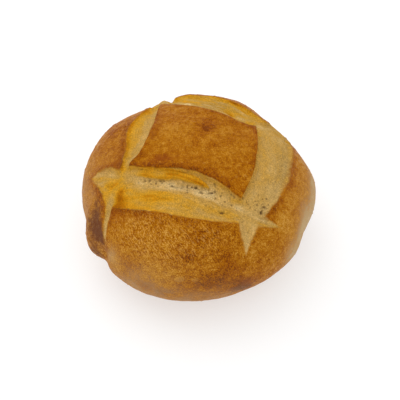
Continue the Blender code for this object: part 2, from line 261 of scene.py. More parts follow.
# Patches on the crust: (u, v, reach along u, reach along v, change of browning), mm
BAKE_PATCHES = (
    (5, 15, 5, 4.5, 0.38),
    (0, 20, 14, 10, 0.08),
    (-27, -12, 8, 4, 0.28),
    (-10, 34, 12, 5, 0.14),
    (18, 32, 12, 5, 0.12),
    (13, -4, 6, 4, 0.14),
    (-44, -8, 10, 7, 0.06),
    (22, -26, 12, 7, 0.08),
    (-35, 30, 4, 20, 0.10),
    (-16, 16, 8, 5, -0.14),
    (8, 24, 8, 6, 0.08),
    (23, 3, 8, 5, 0.10),
    (-4, -8, 8, 6, 0.06),
    (-1, -17, 8, 5, 0.12),
    (-80, 14, 9, 8, 0.12),
    (40, -90, 8, 6, -0.12),
    (20, -80, 8, 6, 0.10),
    (6, -74, 9, 4, 0.10),
    (38, -32, 6, 10, -0.22),
    (-6, 44, 30, 6, -0.06),
    (-1, -79, 6, 4, 0.28),
    (-8, -91, 7, 4.5, 0.28),
    (18, -92, 8, 5, 0.22),
    (24, -100, 12, 7, 0.12),
    (10, -74, 26, 7, 0.04),
    (-36, -66, 12, 5, 0.10),
    (-57, -90, 8, 5, 0.18),
    (-51, -113, 8, 5, 0.22),
    (-40, -120, 8, 5, 0.20),
    (45, -114, 9, 6, 0.34),
    (14, -108, 18, 9, 0.14),
    (40, -108, 26, 14, 0.05),
    (0, -128, 70, 16, 0.12),
    (-76, -84, 7, 9, -0.12),
    (-46, -100, 12, 10, -0.06),
    (62, -76, 8, 6, 0.10),
    (72, -58, 12, 7, -0.16),
    (66, -63, 7, 4, -0.30),
    (72, -36, 7, 16, -0.12),
    (88, -22, 9, 24, -0.05),
    (4, 10, 7, 4, 0.12),
    (-15, 3, 7, 5, 0.08),
    (4, -115, 16, 5, 0.20),
    (46, -122, 12, 5, 0.42),
    (24, -117, 5, 3, -0.10),
    (-1, -95, 8, 6, -0.05),
    (-24, -92, 10, 6, 0.10),
    (50, -69, 6, 8, -0.14),
    (-83, -28, 5, 10, 0.12),
    (82, 4, 6, 12, -0.12),
    (34, -120, 20, 7, 0.14),
    (-56, -106, 14, 8, 0.12),
    (70, -76, 8, 6, -0.12),
    (22, -112, 22, 10, 0.02),
    (-70, 32, 10, 6, 0.18),
    (-82, 46, 9, 6, 0.12),
    (-64, 8, 6, 24, 0.06),
    (-80, -4, 12, 6, 0.06),
    (-30, -96, 16, 10, -0.08),
)
# Places where the crust is redder: (u, v, reach along u, reach along v, strength), mm
RUSTY = (
    (-66, -51, 8, 6, 0.7),
    (-44, -57, 20, 5, 0.6),
    (-10, -66, 22, 5, 0.2),
    (-28, -14, 24, 5, 0.5),
    (12, -32, 16, 6, 0.4),
    (43, 18, 5, 9, 0.6),
    (5, 15, 6, 5, 0.5),
    (-27, -12, 8, 4, 0.5),
    (-12, -84, 14, 12, 0.4),
    (22, -96, 14, 10, 0.4),
    (46, -114, 9, 6, 0.9),
    (-52, -112, 12, 7, 0.6),
    (-57, -90, 9, 6, 0.3),
    (-72, 32, 9, 6, 0.5),
    (-68, -8, 9, 4, 0.7),
    (-34, 28, 5, 20, 0.5),
    (72, -16, 5, 30, 0.6),
    (-85, -74, 9, 7, 0.6),
)
# Burnt places: (u, v, reach along u, reach along v, strength), mm
BURNT = (
    (-86, -54, 7, 13, 0.95),
    (-96, -48, 8, 12, 0.50),
    (-97, -66, 9, 10, 0.35),
    (-85, -38, 4, 10, 0.40),
    (-83, -63, 4.5, 8, 0.65),
    (-104, -74, 7, 8, 0.60),
)
# Pale dusty places
DUSTY = (
    (100, -58, 10, 20, 0.55),
    (119, -44, 20, 52, 0.70),
    (122, -10, 22, 90, 0.25),
    (20, 142, 90, 24, 0.25),
    (92, -78, 9, 12, 0.6),
    (106, 0, 9, 30, 0.45),
    (-126, 10, 24, 60, 0.40),
    (-84, -20, 18, 20, 0.15),
    (-78, -80, 9, 9, 0.4),
    (-60, -112, 30, 20, 0.35),
    (0, -140, 120, 22, 0.30),
)
# Places with painted highlights: pale flecks that stand in for glints of the glossy crust
GLINT_PLACES = (
    (-48, -66, 24, 14, 1.0),
    (-24, -82, 30, 16, 0.8),
    (6, -76, 14, 9, 0.35),
)
# Places with a grainy crust
GRAINY = (
    (-10, -86, 70, 40, 1.0),
    (-90, 0, 30, 60, 0.1),
)

# Pores of the torn dough: (u, v of each end of a band, half width, how many, widest), mm
PORE_BANDS = (
    (-47, -27, -24, -31, 1.2, 34, 0.8),
    (-24, -33, 4, -42, 1.6, 50, 0.9),
    (4, -42, 16, -44, 2.0, 16, 0.9),
    (8, -36, 34, -48, 2.4, 22, 0.8),
    (46, -42, 50, -58, 3.0, 24, 0.8),
    (44, -20, 60, -46, 6.0, 22, 0.6),
    (56, 20, 66, -20, 6.0, 14, 0.5),
    (-60, -22, -74, -28, 4.0, 12, 0.6),
    (-14, -52, 30, -58, 4.0, 30, 0.6),
    (34, -60, 37, -80, 1.6, 8, 0.6),
)
# Patches on the torn dough: (u, v, reach along u, reach along v, change of tone), mm
TONE_PATCHES = (
    (-65, -25, 6, 4, 0.26),
    (-64, -38, 5, 7, 0.34),
    (-32, -25, 6, 3, -0.10),
    (-84, -17, 8, 8, -0.26),
    (-54, -26, 5, 5, 0.22),
    (-64, -14, 4, 4, 0.16),
    (-40, -37, 18, 3, -0.10),
    (-46, -42, 14, 3, 0.08),
    (-20, -50, 14, 4, -0.12),
    (38, -74, 6, 12, 0.10),
    (-77, -62, 4, 12, -0.06),
    (62, 14, 8, 6, 0.06),
    (14, 47, 8, 2, 0.26),
    (26, 43, 6, 2, 0.26),
    (-50, 56, 7, 8, 0.24),
    (14, -46, 5, 4, 0.22),
    (8, -53, 10, 5, -0.16),
    # Painted light: paler here, to lift the shade that falls on the sloping floor of the cut
    (0, -45, 16, 5, -0.14),
    (25, -50, 9, 3, 0.22),
    (-66, -20, 7, 4, 0.20),
    (-79, -50, 3, 8, 0.10),
    (-84, -8, 6, 5, 0.12),
    (-76, -12, 8, 4, 0.14),
    (-56, -16, 4, 3, 0.24),
    (-68, -36, 10, 6, 0.08),
    (-62, -46, 8, 3, 0.20),
)
# Painted shade: places of the torn dough painted darker where shade falls on them: (u, v, reach
# along u, reach along v, share), mm
PAINTED_SHADE = (
    (69, -10, 7, 24, 0.20),
    (59, -38, 7, 12, 0.12),
    (82, 24, 9, 14, 0.10),
    (50, -57, 8, 7, 0.14),
    (66, -62, 8, 3, 0.08),
    (-54, -26, 6, 6, 0.05),
    (-67, -39, 4, 8, 0.08),
    (14, 54, 18, 10, 0.18),
    (70, 50, 24, 16, 0.08),
)
# Places where the crust runs softly into the dough: (u, v, reach, reach, share), mm
SOFT = (
    (40, -74, 16, 14, 1.0),
    (72, -10, 10, 34, 1.0),
    (-84, -14, 14, 12, 1.0),
    (-64, 4, 8, 20, 0.8),
    (-78, -56, 8, 16, 0.4),
)
# Places with many small pores, painted as dark spots of shade: (u, v, reach along u, reach along
# v, share), mm
POROUS = (
    (-34, -32, 14, 4, 1.0),
    (-10, -38, 14, 4, 1.0),
    (14, -45, 12, 6, 0.9),
    (28, -50, 12, 7, 0.8),
    (50, -50, 9, 12, 0.9),
    (56, -30, 8, 16, 0.5),
    (-66, -26, 8, 5, 0.5),
    (-54, -31, 8, 4, 0.5),
    (-20, -50, 24, 4, 0.2),
    (2, -54, 20, 5, 0.35),
    (38, -68, 4, 10, 0.5),
    (62, 0, 6, 22, 0.2),
)
# The fold along the tongue: (u, v) of its points in mm, half its width and how brown it is
LEDGE_FOLD = ((-25, -25.8), (-15, -28.6), (-6, -33.2), (3, -38.4))
FOLD_WIDTH, FOLD_TONE = 0.0010, 0.22
# Single large pores: (u, v, reach along u, reach along v), mm
LARGE_PORES = (
    (17, -59, 2.2, 1.2),
    (49, -55, 1.3, 1.7),
    (51, -50, 1.5, 1.0),
    (-3, -38.5, 1.5, 1.2),
    (9, -43, 1.6, 1.1),
    (-30, -30, 1.4, 0.9),
)
PORE_DEPTH = 0.0012
FULL_PORE, FULL_BLISTER = 0.0011, 0.0032  # spots narrower than these are fainter
# Blisters of the crust: (u, v, reach along u, reach along v), mm
BLISTERS = (
    (-17.5, -107, 5.0, 3.0),
    (-4.5, -109, 3.6, 2.2),
)
SMALL_BLISTERS = 420
SMALL_BLISTER_REACH = (0.0006, 0.0012)
BLISTERED_REACH = 0.145  # how far from the crown they lie
BLISTER_HEIGHT = 0.0011
SPOT_SEED = 77


def ease(x):
    """0 below 0, 1 above 1, and smooth between."""
    x = np.clip(x, 0.0, 1.0)
    return x * x * (3.0 - 2.0 * x)


def lattice_noise(points, cell, seed):
    """Smooth noise from -1 to 1 that changes over about one cell."""
    table = np.random.default_rng(seed).uniform(-1.0, 1.0, (NOISE_CELLS,) * 3)
    low = np.floor(points / cell).astype(int)
    part = ease(points / cell - low)
    total = np.zeros(len(points))
    for corner in itertools.product((0, 1), repeat=3):
        weight = np.prod(np.abs(1 - np.array(corner) - part), axis=1)
        x, y, z = ((low + corner) % NOISE_CELLS).T
        total += weight * table[x, y, z]
    return total


# ---- the plain loaf ----


def skin_profile():
    """Share of the waist radius, height and distance along the crust, crown to base."""
    angle = np.linspace(0.0, math.pi, PROFILE_STEPS + 1)
    share = np.abs(np.sin(angle)) ** (2.0 / SIDE_POWER)
    above = LOAF_HEIGHT - WAIST_HEIGHT
    below = WAIST_HEIGHT / math.sqrt(1.0 - BASE_SHARE**SIDE_POWER)
    height = WAIST_HEIGHT + np.cos(angle) * np.where(np.cos(angle) > 0, above, below)
    rounded = np.maximum(height + BASE_ROUND, 0.0) ** 2 / (4.0 * BASE_ROUND)
    height = np.where(height > BASE_ROUND, height, rounded)
    steps = np.hypot(np.diff(share) * np.mean(PLAN_RADII) * MM, np.diff(height))
    return share, height, np.concatenate(([0.0], np.cumsum(steps)))


SHARE, HEIGHT, ALONG = skin_profile()


def plan_radius(angle):
    """The waist radius in a direction, on a smooth closed curve through PLAN_RADII."""
    radii = np.array(PLAN_RADII) * MM
    turn = angle / math.tau * len(radii)
    low = np.floor(turn).astype(int)
    t = turn - low
    a, b, c, d = (radii[(low + k) % len(radii)] for k in (-1, 0, 1, 2))
    return b + 0.5 * t * (c - a + t * (2 * a - 5 * b + 4 * c - d + t * (3 * (b - c) + d - a)))


def skin_point(uv):
    """Where a skin place lies on the plain loaf."""
    along = np.hypot(uv[:, 0], uv[:, 1])
    angle = np.arctan2(uv[:, 1], uv[:, 0])
    share = np.interp(along, ALONG, SHARE)
    mean = np.mean(PLAN_RADII) * MM
    radius = share * (mean + (plan_radius(angle) - mean) * share)
    height = np.interp(along, ALONG, HEIGHT)
    return np.column_stack((radius * np.cos(angle), radius * np.sin(angle), height))


def skin_normal(uv):
    """The outward direction at each skin place."""
    right = skin_point(uv + (SLOPE_STEP, 0.0)) - skin_point(uv - (SLOPE_STEP, 0.0))
    back = skin_point(uv + (0.0, SLOPE_STEP)) - skin_point(uv - (0.0, SLOPE_STEP))
    normal = np.cross(right, back)
    length = np.linalg.norm(normal, axis=1, keepdims=True)
    normal = normal / np.maximum(length, 1e-15)
    flat = (skin_point(uv)[:, 2] < MM) | (length[:, 0] < 1e-12)
    normal[flat] = (0.0, 0.0, -1.0)
    return normal


# ---- the cuts ----


def smooth_line(points):
    """A Catmull-Rom curve through skin points in mm, as points in metres."""
    p = np.array(points, float) * MM
    p = np.vstack((2 * p[0] - p[1], p, 2 * p[-1] - p[-2]))
    t = np.linspace(0.0, 1.0, LINE_STEPS, endpoint=False)[:, None]
    spans = []
    for a, b, c, d in zip(p, p[1:], p[2:], p[3:]):
        curve = c - a + t * (2 * a - 5 * b + 4 * c - d + t * (3 * (b - c) + d - a))
        spans.append(b + 0.5 * t * curve)
    return np.vstack((*spans, p[-2]))


def distance_to_line(uv, line):
    """Distance from each skin place to a line."""
    nearest = np.full(len(uv), np.inf)
    for start, end in zip(line, line[1:]):
        run = end - start
        share = np.clip((uv - start) @ run / (run @ run), 0.0, 1.0)
        offset = uv - start - share[:, None] * run
        nearest = np.minimum(nearest, (offset**2).sum(axis=1))
    return np.sqrt(nearest)


def inside_outline(uv, outline):
    """Which skin places a closed outline holds."""
    u, v = uv.T
    inside = np.zeros(len(uv), bool)
    for (u0, v0), (u1, v1) in zip(outline, np.roll(outline, -1, axis=0)):
        if v0 != v1:
            crosses = (v0 > v) != (v1 > v)
            inside ^= crosses & (u < u0 + (v - v0) * (u1 - u0) / (v1 - v0))
    return inside


def along_rows(rows, across, lengthwise):
    """Reads a section or tone table at each place of its cut."""
    share, *stations = np.array(rows, float).T
    start, middle, end = (np.interp(across, share, values) for values in stations)
    late = ease(2.0 * lengthwise - 1.0)
    return start + (middle - start) * ease(2.0 * lengthwise) + (end - middle) * late


def wobbled(uv):
    """Skin places moved a little, so that lines drawn through them aren't too smooth."""
    moved = uv.copy()
    for size, reach, seed in WOBBLES:
        places = np.column_stack((uv, np.zeros(len(uv))))
        moved[:, 0] += reach * lattice_noise(places, size, seed)
        moved[:, 1] += reach * lattice_noise(places, size, seed + 1)
    return moved


def cut_fields(cut, uv):
    """For one cut: distance past its edge (negative inside it), depth, tone and strands."""
    inner, outer = smooth_line(cut.inner), smooth_line(cut.outer)
    to_inner, to_outer = distance_to_line(uv, inner), distance_to_line(uv, outer)
    inside = inside_outline(uv, np.vstack((inner, outer[::-1])))
    past = np.minimum(to_inner, to_outer) * np.where(inside, -1.0, 1.0)

    run = inner[-1] - inner[0]
    lengthwise = np.clip((uv - inner[0]) @ run / (run @ run), 0.0, 1.0)
    width = to_inner + to_outer
    across = to_inner / np.maximum(width, 1e-9)
    depth = along_rows(cut.section, across, lengthwise) * MM * ease(width / TAPER_WIDTH)
    cell, _, stretch, seed = DOUGH_STRANDS
    length = lengthwise * np.linalg.norm(run)
    places = np.column_stack((to_inner, length / stretch, np.full(len(uv), inner[0, 0])))
    strands = lattice_noise(places, cell, seed)
    tone = along_rows(cut.tone, across, lengthwise) + cut.streaks * strands
    return past, depth, tone, strands


def all_cuts(uv):
    """Distance past the nearest edge of a cut (negative inside one), depth, tone, strands."""
    uv = wobbled(uv)
    fields = [cut_fields(cut, uv) for cut in CUTS]
    past = np.min([f[0] for f in fields], axis=0)
    held = [cut.weight * ease(-f[0] / CROSSING_BLEND) + 1e-9 for cut, f in zip(CUTS, fields)]
    mixed = [sum(h * f[k] for h, f in zip(held, fields)) / sum(held) for k in (1, 2, 3)]
    return past, *mixed


def past_ledge(uv):
    """Distance past the edge of the tongue that is left in the front cut."""
    outline = smooth_line(LEDGE)
    uv = wobbled(uv)
    return distance_to_line(uv, outline) * np.where(inside_outline(uv, outline), -1.0, 1.0)


def with_ledge(uv, depth, tone, pores):
    """Depth, tone and pores with the tongue laid over them."""
    past = past_ledge(uv)
    start, end = LEDGE_START
    share = ease(0.5 - past / LEDGE_SIDE) * ease((uv[:, 0] - start) / (end - start))
    side = np.exp(-((past / (1.5 * MM)) ** 2))
    top = np.minimum(depth, LEDGE_DEPTH) - LEDGE_LIP * side
    fold = np.exp(-((distance_to_line(uv, smooth_line(LEDGE_FOLD)) / FOLD_WIDTH) ** 2))
    own_tone = LEDGE_TONE + LEDGE_SIDE_TONE * side + FOLD_TONE * fold
    return depth + (top - depth) * share, tone + (own_tone - tone) * share, pores * (1.0 - share)


def crispness(uv):
    """1 round the middle square, 0 far from it."""
    square = np.array(MIDDLE_CORNERS, float) * MM
    away = distance_to_line(uv, np.vstack((square, square[:1])))
    away[inside_outline(uv, square)] = 0.0
    return 1.0 - ease((away - CRISP_WITHIN) / (SOFT_BEYOND - CRISP_WITHIN))


def wall_width(uv):
    return SOFT_WALL + (CRISP_WALL - SOFT_WALL) * crispness(uv)


def past_edge(uv):
    return all_cuts(uv)[0]


def past_foot(uv):
    """Distance past the foot of the wall under a cut's edge."""
    return all_cuts(uv)[0] + wall_width(uv)


def slope(field, uv):
    """How fast a field changes to the right and to the back."""
    right = field(uv + (SLOPE_STEP, 0.0)) - field(uv - (SLOPE_STEP, 0.0))
    back = field(uv + (0.0, SLOPE_STEP)) - field(uv - (0.0, SLOPE_STEP))
    return np.column_stack((right, back)) / (2.0 * SLOPE_STEP)


def slide_to_edges(uv, edges):
    """Slides grid points onto the cuts' edges and wall feet, so that each is one clean line."""
    length = np.linalg.norm(uv[edges[:, 0]] - uv[edges[:, 1]], axis=1)
    total = np.bincount(edges.ravel(), np.repeat(length, 2), len(uv))
    reach = SNAP_SHARE * total / np.bincount(edges.ravel(), minlength=len(uv))
    free = np.linalg.norm(uv, axis=1) < ALONG[-1] / 2.0
    for field in (past_edge, past_foot):
        near = np.flatnonzero(free & (np.abs(field(uv)) < reach))
        for _ in range(2):
            steepness = slope(field, uv[near])
            square = np.maximum((steepness**2).sum(axis=1), 0.25)
            uv[near] -= (field(uv[near]) / square)[:, None] * steepness
        free[near] = False
        free &= crispness(uv) > 0.5  # the foot of a soft wall needs no line
    return uv


# ---- the relief of the baked skin ----


def bulge_relief(uv):
    """Height of the bulges, hollows and creases."""
    height = np.zeros(len(uv))
    for u, v, reach, rise in BULGES:
        away = np.linalg.norm(uv - np.array((u, v)) * MM, axis=1)
        height += rise * MM * np.exp(-((away / (reach * MM)) ** 2))
    for start, end, half_width, depth in CREASES:
        away = distance_to_line(uv, np.array((start, end), float) * MM)
        height -= depth * MM * np.exp(-((away / (half_width * MM)) ** 2))
    return height


def dough_relief(plain, strands):
    """Unevenness of the torn dough."""
    rough = DOUGH_STRANDS[1] * strands
    for size, height, seed in DOUGH_LUMPS:
        rough += height * lattice_noise(plain, size, seed)
    return rough


def baked_skin(uv, pores, blisters):
    """The surface, its tone, the distance past an edge, and the pores that show."""
    past, depth, tone, strands = all_cuts(uv)
    depth, tone, pores = with_ledge(uv, depth, tone, pores)
    crisp = crispness(uv)
    lip = SOFT_LIP + (CRISP_LIP - SOFT_LIP) * crisp
    curl = lip * np.exp(-((np.maximum(past, 0.0) / LIP_REACH) ** 2))
    opened = np.clip(-past / wall_width(uv), 0.0, 1.0)

    plain = skin_point(uv)
    floor = depth + dough_relief(plain, strands) + PORE_DEPTH * pores
    relief = (curl + BLISTER_HEIGHT * blisters) * (1.0 - opened) - floor * opened
    relief += bulge_relief(uv)
    for size, height, seed in LUMPS:
        relief += height * lattice_noise(plain, size, seed)
    lively = ease((plain[:, 2] - CALM_BELOW) / (LIVELY_ABOVE - CALM_BELOW))

    lean = OVERHANG * crisp * np.exp(-((past / MM) ** 2))
    leaning = skin_point(uv - slope(past_edge, uv) * lean[:, None])
    surface = leaning + skin_normal(uv) * (relief * lively)[:, None]
    return surface, tone, past, pores * opened


# ---- pores and blisters ----


def scattered_pores(random):
    """Pores of many sizes along the bands: (u, v, reach along u, reach along v)."""
    spots = [np.array(LARGE_PORES, float)]
    for *ends, half_width, count, widest in PORE_BANDS:
        start, end = np.array(ends[:2], float), np.array(ends[2:], float)
        middles = start + random.random((count, 1)) * (end - start)
        middles = middles + random.normal(0.0, half_width, (count, 2))
        reach = widest * (0.4 + 0.6 * random.random((count, 1)) ** 2)
        spots.append(np.hstack((middles, reach * (1.0 + 0.6 * random.random((count, 1))), reach)))
    return np.vstack(spots) * MM


def scattered_blisters(random):
    """The large blisters, and small ones all over the top: (u, v, reach along u and v)."""
    along = BLISTERED_REACH * np.sqrt(random.random(SMALL_BLISTERS))
    angle = random.uniform(0.0, math.tau, SMALL_BLISTERS)
    reach = random.uniform(*SMALL_BLISTER_REACH, SMALL_BLISTERS)
    small = np.column_stack((along * np.cos(angle), along * np.sin(angle), reach * 1.2, reach))
    return np.vstack((np.array(BLISTERS) * MM, small))


def spot_field(uv, spots, full):
    """1 in the middle of each spot, 0 outside them all, and less if narrower than full."""
    order = np.argsort(uv[:, 0])
    sorted_uv = uv[order]
    field = np.zeros(len(uv))
    for u, v, reach_u, reach_v in spots:
        low, high = np.searchsorted(sorted_uv[:, 0], (u - reach_u, u + reach_u))
        away = (sorted_uv[low:high] - (u, v)) / (reach_u, reach_v)
        near = order[low:high]
        strength = min(1.0, reach_v / full)
        inside = strength * ease(1.6 - 1.6 * (away**2).sum(axis=1))
        field[near] = np.maximum(field[near], inside)
    return field


# ---- masks for the material ----


def patches(uv, table):
    """The sum of soft patches over the skin."""
    total = np.zeros(len(uv))
    for u, v, reach_u, reach_v, amount in table:
        away = (uv / MM - (u, v)) / (reach_u, reach_v)
        total += amount * np.exp(-(away**2).sum(axis=1))
    return total


def material_masks(uv, tone, past):
    """Named values from 0 to 1 at each grid point, which the material reads."""
    crisp = crispness(uv)
    near_edge = np.exp(-((np.maximum(past, 0.0) / EDGE_BAKE_REACH) ** 2))
    edge_bake = near_edge * (EDGE_BAKE + patches(uv, EDGE_PATCHES))
    dusty = patches(uv, DUSTY) * (1.0 - np.exp(-((np.maximum(past, 0.0) / DUST_CLEAR) ** 2)))
    softness = CRISP_BLUR + SOFT_BLUR * (1.0 - crisp) + PLACE_BLUR * patches(uv, SOFT)
    return {
        "opened": np.clip(0.5 - 0.5 * (past + BLUR_SHIFT) / softness, 0.0, 1.0),
        "tone": np.clip(tone + patches(uv, TONE_PATCHES), 0.0, 1.0),
        "bake": np.clip(CRUST_BAKE + patches(uv, BAKE_PATCHES) + edge_bake, 0.0, 1.0),
        "painted_shade": np.clip(patches(uv, PAINTED_SHADE), 0.0, 1.0),
        "porous": np.clip(patches(uv, POROUS), 0.0, 1.0),
        "rusty": np.clip(patches(uv, RUSTY), 0.0, 1.0),
        "burnt": np.clip(patches(uv, BURNT), 0.0, 1.0),
        "dusty": np.clip(dusty, 0.0, 1.0),
        "glint_places": np.clip(patches(uv, GLINT_PLACES), 0.0, 1.0),
        "grainy": np.clip(patches(uv, GRAINY), 0.0, 1.0),
    }


# ---- the mesh ----


def wrapped_cube():
    """The grid points, edges and four-sided faces of a finely divided cube."""
    cube = bmesh.new()
    bmesh.ops.create_cube(cube, size=2.0)
    bmesh.ops.subdivide_edges(cube, edges=cube.edges[:], cuts=CELLS - 1, use_grid_fill=True)
    cube.verts.index_update()
    corners = np.array([vert.co for vert in cube.verts])
    edges = np.array([[vert.index for vert in edge.verts] for edge in cube.edges])
    quads = np.array([[vert.index for vert in face.verts] for face in cube.faces])
    cube.free()
    return corners, edges, quads


def grid_on_skin(corners):
    """The skin places of a cube's grid points when the cube is wrapped round the loaf."""
    even = np.tan(corners * math.pi / 4.0)
    even /= np.linalg.norm(even, axis=1, keepdims=True)
    turn = np.arccos(np.clip(even[:, 2], -1.0, 1.0)) / math.pi
    along = ALONG[-1] * ((1.0 - CROWDING) * turn + CROWDING * turn**3)
    angle = np.arctan2(even[:, 1], even[:, 0])
    return np.column_stack((along * np.cos(angle), along * np.sin(angle)))


def split_quads(quads, level):
    """Triangles that follow lines of equal level, so a cut's edge isn't notched."""
    a, b, c, d = quads.T
    along_ac = np.abs(level[a] - level[c]) <= np.abs(level[b] - level[d])
    split_ac = np.column_stack((a, b, c, a, c, d))
    split_bd = np.column_stack((a, b, d, b, c, d))
    return np.where(along_ac[:, None], split_ac, split_bd).reshape(-1, 3)


def centre_on_base(points):
    """Moves the loaf so that the middle of its outline is over the origin."""
    middle = (points.min(axis=0) + points.max(axis=0)) / 2.0
    points[:, :2] -= middle[:2]
    points[:, 2] = np.maximum(points[:, 2], 0.0)
    return points


def make_boule():
    corners, edges, quads = wrapped_cube()
    uv = slide_to_edges(grid_on_skin(corners), edges)
    random = np.random.default_rng(SPOT_SEED)
    pores = spot_field(uv, scattered_pores(random), FULL_PORE)
    blisters = spot_field(uv, scattered_blisters(random), FULL_BLISTER)
    surface, tone, past, pores = baked_skin(uv, pores, blisters)
    mesh = bpy.data.meshes.new("boule_crust")
    mesh.from_pydata(centre_on_base(surface), [], split_quads(quads, past))
    mesh.shade_smooth()
    masks = material_masks(uv, tone, past) | {"pore": pores, "blister": blisters}
    for name, values in masks.items():
        layer = mesh.attributes.new(name, "FLOAT", "POINT")
        layer.data.foreach_set("value", values)
    mesh.materials.append(crust_material())
    boule = bpy.data.objects.new("boule_crust", mesh)
    bpy.context.scene.collection.objects.link(boule)
    return boule


# ---- the material ----


def seen(red, green, blue):
    """Shader values of a colour that looks so, 0 to 255, in the stage's light."""
    shares = [c / 255.0 for c in (red, green, blue)]
    linear = [c / 12.92 if c < 0.04045 else ((c + 0.055) / 1.055) ** 2.4 for c in shares]
    return (*(c / STAGE_LIGHT for c in linear), 1.0)


STAGE_LIGHT = 0.97  # how bright white paper lies on the stage
CRUST_RAMP = (
    (0.00, seen(214, 166, 84)),
    (0.20, seen(201, 144, 52)),
    (0.36, seen(188, 125, 30)),
    (0.50, seen(176, 109, 10)),
    (0.65, seen(162, 92, 4)),
    (0.80, seen(142, 72, 3)),
    (1.00, seen(102, 48, 6)),
)
DOUGH_RAMP = (
    (0.00, seen(220, 188, 128)),
    (0.14, seen(207, 168, 99)),
    (0.30, seen(196, 154, 80)),
    (0.44, seen(200, 151, 60)),
    (0.58, seen(207, 150, 38)),
    (0.70, seen(198, 134, 20)),
    (0.85, seen(177, 108, 8)),
    (1.00, seen(144, 80, 8)),
)
RUST_COLOR = seen(150, 76, 16)
BURNT_COLOR = seen(104, 60, 38)
DUST_COLOR = seen(194, 162, 114)
# Painted highlights: the pale dots and flecks stand in for glints of the glossy crust
GLINT_DOT_COLOR = seen(208, 150, 64)
GLINT_FLECK_COLOR = seen(220, 166, 80)
BLISTER_COLOR = seen(206, 158, 84)
FRECKLE_COLOR = seen(152, 108, 50)
# Painted shade: the dark colour of the pores stands in for the shade inside the holes
PORE_SHADE_COLOR = seen(92, 66, 44)
SPECULAR_TINT = (1.0, 0.6, 0.15, 1.0)
GLINT_FLECK_TURN = (0.0, math.radians(35.0), math.radians(-50.0))  # they run down to the right


class Shader:
    """Adds linked nodes to a material."""

    def __init__(self, name):
        self.material = bpy.data.materials.new(name)
        self.material.use_nodes = True
        self.tree = self.material.node_tree
        self.surface = self.tree.nodes["Principled BSDF"]

    def put(self, value, socket):
        if isinstance(value, bpy.types.NodeSocket):
            self.tree.links.new(value, socket)
        else:
            socket.default_value = value

    def math(self, operation, a, b=0.0, clamp=False):
        node = self.tree.nodes.new("ShaderNodeMath")
        node.operation = operation
        node.use_clamp = clamp
        self.put(a, node.inputs[0])
        self.put(b, node.inputs[1])
        return node.outputs[0]

    def mask(self, name):
        node = self.tree.nodes.new("ShaderNodeAttribute")
        node.attribute_name = name
        return node.outputs["Fac"]

    def places(self):
        return self.tree.nodes.new("ShaderNodeTexCoord").outputs["Object"]

    def noise(self, size, detail=2.0, rough=0.5):
        """Cloudy noise from 0 to 1 whose clouds are about a size across."""
        node = self.tree.nodes.new("ShaderNodeTexNoise")
        self.put(self.places(), node.inputs["Vector"])
        self.put(1.0 / size, node.inputs["Scale"])
        self.put(detail, node.inputs["Detail"])
        self.put(rough, node.inputs["Roughness"])
        return node.outputs["Fac"]

    def streaks(self, size, stretch, turn):
        """Noise from 0 to 1 that is stretched along +X, then turned."""
        node = self.tree.nodes.new("ShaderNodeMapping")
        node.vector_type = "TEXTURE"
        self.put(self.places(), node.inputs["Vector"])
        self.put(turn, node.inputs["Rotation"])
        self.put((stretch, 1.0, 1.0), node.inputs["Scale"])
        noise = self.noise(size, detail=2.0, rough=0.6)
        self.put(node.outputs[0], noise.node.inputs["Vector"])
        return noise

    def grain(self, size, detail=2.0, rough=0.5):
        """Strong noise from -0.5 to 0.5."""
        return self.ramp(self.noise(size, detail, rough), 0.3, 0.7, -0.5, 0.5)

    def plus(self, value, *grains):
        """A value with shares of grains added: pairs of a grain and a share."""
        for grain, share in grains:
            value = self.math("ADD", value, self.math("MULTIPLY", grain, share))
        return value

    def spots(self, spacing, radius, share):
        """1 in the middle of round spots, 0 between them; a share of the cells has one."""
        node = self.tree.nodes.new("ShaderNodeTexVoronoi")
        self.put(self.places(), node.inputs["Vector"])
        self.put(1.0 / spacing, node.inputs["Scale"])
        apart = self.tree.nodes.new("ShaderNodeSeparateColor")
        self.put(node.outputs["Color"], apart.inputs[0])
        size = self.math("MULTIPLY", apart.outputs[1], radius / spacing)
        near = self.ramp(self.math("DIVIDE", node.outputs["Distance"], size), 1.0, 0.4)
        chosen = self.math("LESS_THAN", apart.outputs[0], share)
        return self.math("MULTIPLY", near, chosen)

    def ramp(self, value, low, high, to_low=0.0, to_high=1.0):
        """Maps a value's range to another, with smooth ends."""
        node = self.tree.nodes.new("ShaderNodeMapRange")
        node.interpolation_type = "SMOOTHSTEP"
        for given, socket in zip((value, low, high, to_low, to_high), node.inputs):
            self.put(given, socket)
        return node.outputs[0]

    def colors(self, value, stops):
        node = self.tree.nodes.new("ShaderNodeValToRGB")
        self.put(value, node.inputs[0])
        elements = node.color_ramp.elements
        while len(elements) < len(stops):
            elements.new(0.5)
        for element, (place, color) in zip(elements, stops):
            element.position = place
            element.color = color
        return node.outputs["Color"]

    def mix(self, share, a, b):
        node = self.tree.nodes.new("ShaderNodeMix")
        node.data_type = "RGBA"
        self.put(share, node.inputs[0])
        self.put(a, node.inputs[6])
        self.put(b, node.inputs[7])
        return node.outputs[2]

    def lit(self, color, brightness):
        """The colour made brighter or darker."""
        node = self.tree.nodes.new("ShaderNodeVectorMath")
        node.operation = "SCALE"
        self.put(color, node.inputs[0])
        self.put(brightness, node.inputs["Scale"])
        return node.outputs[0]

    def bump(self, height, distance, normal=None):
        node = self.tree.nodes.new("ShaderNodeBump")
        node.inputs["Distance"].default_value = distance
        self.put(height, node.inputs["Height"])
        if normal is not None:
            self.put(normal, node.inputs["Normal"])
        return node.outputs["Normal"]


# The three sizes of cloud in the colours
FINE_SIZE, MIDDLE_SIZE, BROAD_SIZE = 0.9 * MM, 3.4 * MM, 13.0 * MM
